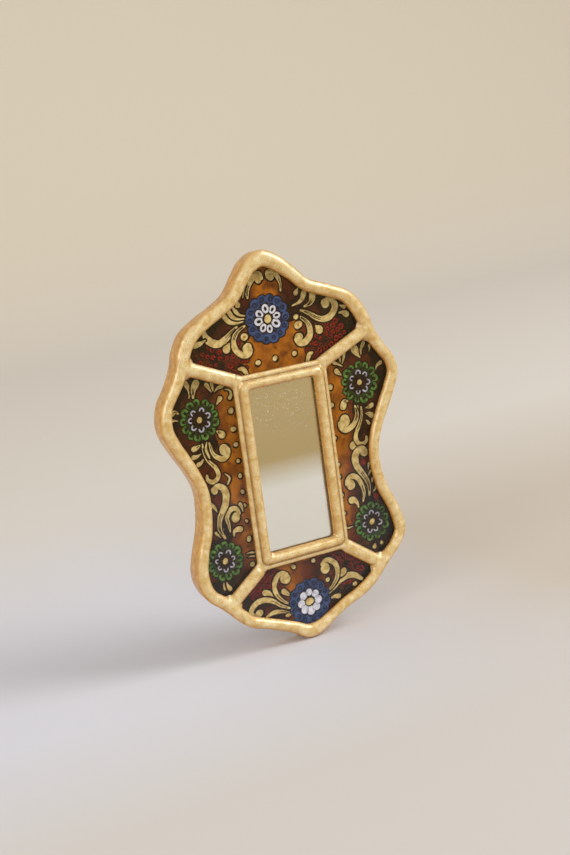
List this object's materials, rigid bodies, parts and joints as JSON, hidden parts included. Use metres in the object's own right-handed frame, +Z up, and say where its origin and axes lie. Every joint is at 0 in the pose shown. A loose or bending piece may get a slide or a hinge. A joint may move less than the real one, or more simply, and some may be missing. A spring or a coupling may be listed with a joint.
{
  "type": "painted wall mirror",
  "caption": "Small wall mirror in a gilded, wavy-edged frame with reverse-painted floral glass panels and a hanging ring at the back.",
  "frame": {"origin": "on the wall plane, which is the rim's flat back edge, behind the middle of the mirror glass", "axes": "+Y into the wall, so the mirror faces -Y; +Z up along the mirror's length; +X to the viewer's right"},
  "size_m": [0.1101, 0.0111, 0.1636],
  "materials": {
    "gilding": "carved wood and gesso, gilded with metal leaf and rubbed, satin, with brown showing at the edges",
    "clear_glass": "clear picture glass, polished",
    "paint_amber": "paint on the back of the glass, amber ground with scrolls and rosettes, seen glossy through it",
    "paint_maroon": "paint on the back of the glass, maroon ground with scrolls and a rosette, seen glossy through it",
    "paint_brown": "paint on the back of the glass, brown ground with scrolls and rosettes, seen glossy through it",
    "silvering": "silvered back of the mirror glass",
    "board": "thin wood-fibre board, bare",
    "pins": "plain steel wire pins",
    "brass": "thin pressed brass, slightly dull"
  },
  "bodies": {
    "frame": {"outer_rim": "gilding", "rail_top": "gilding", "rail_bottom": "gilding", "rail_left": "gilding", "rail_right": "gilding", "spoke_top_left": "gilding", "spoke_top_right": "gilding", "spoke_bottom_left": "gilding", "spoke_bottom_right": "gilding", "mirror_glass": "clear_glass", "mirror_silvering": "silvering", "glass_top": "clear_glass", "glass_bottom": "clear_glass", "glass_left": "clear_glass", "glass_right": "clear_glass", "paint_top": "paint_amber", "paint_bottom": "paint_maroon", "paint_left": "paint_brown", "paint_right": "paint_brown", "back_board": "board", "board_pins": "pins", "hanger_strap": "brass", "hanger_screws": "brass"},
    "ring": {"hanger_ring": "brass"}
  },
  "joints": [
    {"name": "ring_swing", "type": "hinge", "parent": "frame", "child": "ring", "pos_m": [0, -0.00175, 0.054], "axis": [-1, 0, 0], "range_deg": [0, 184]}
  ]
}
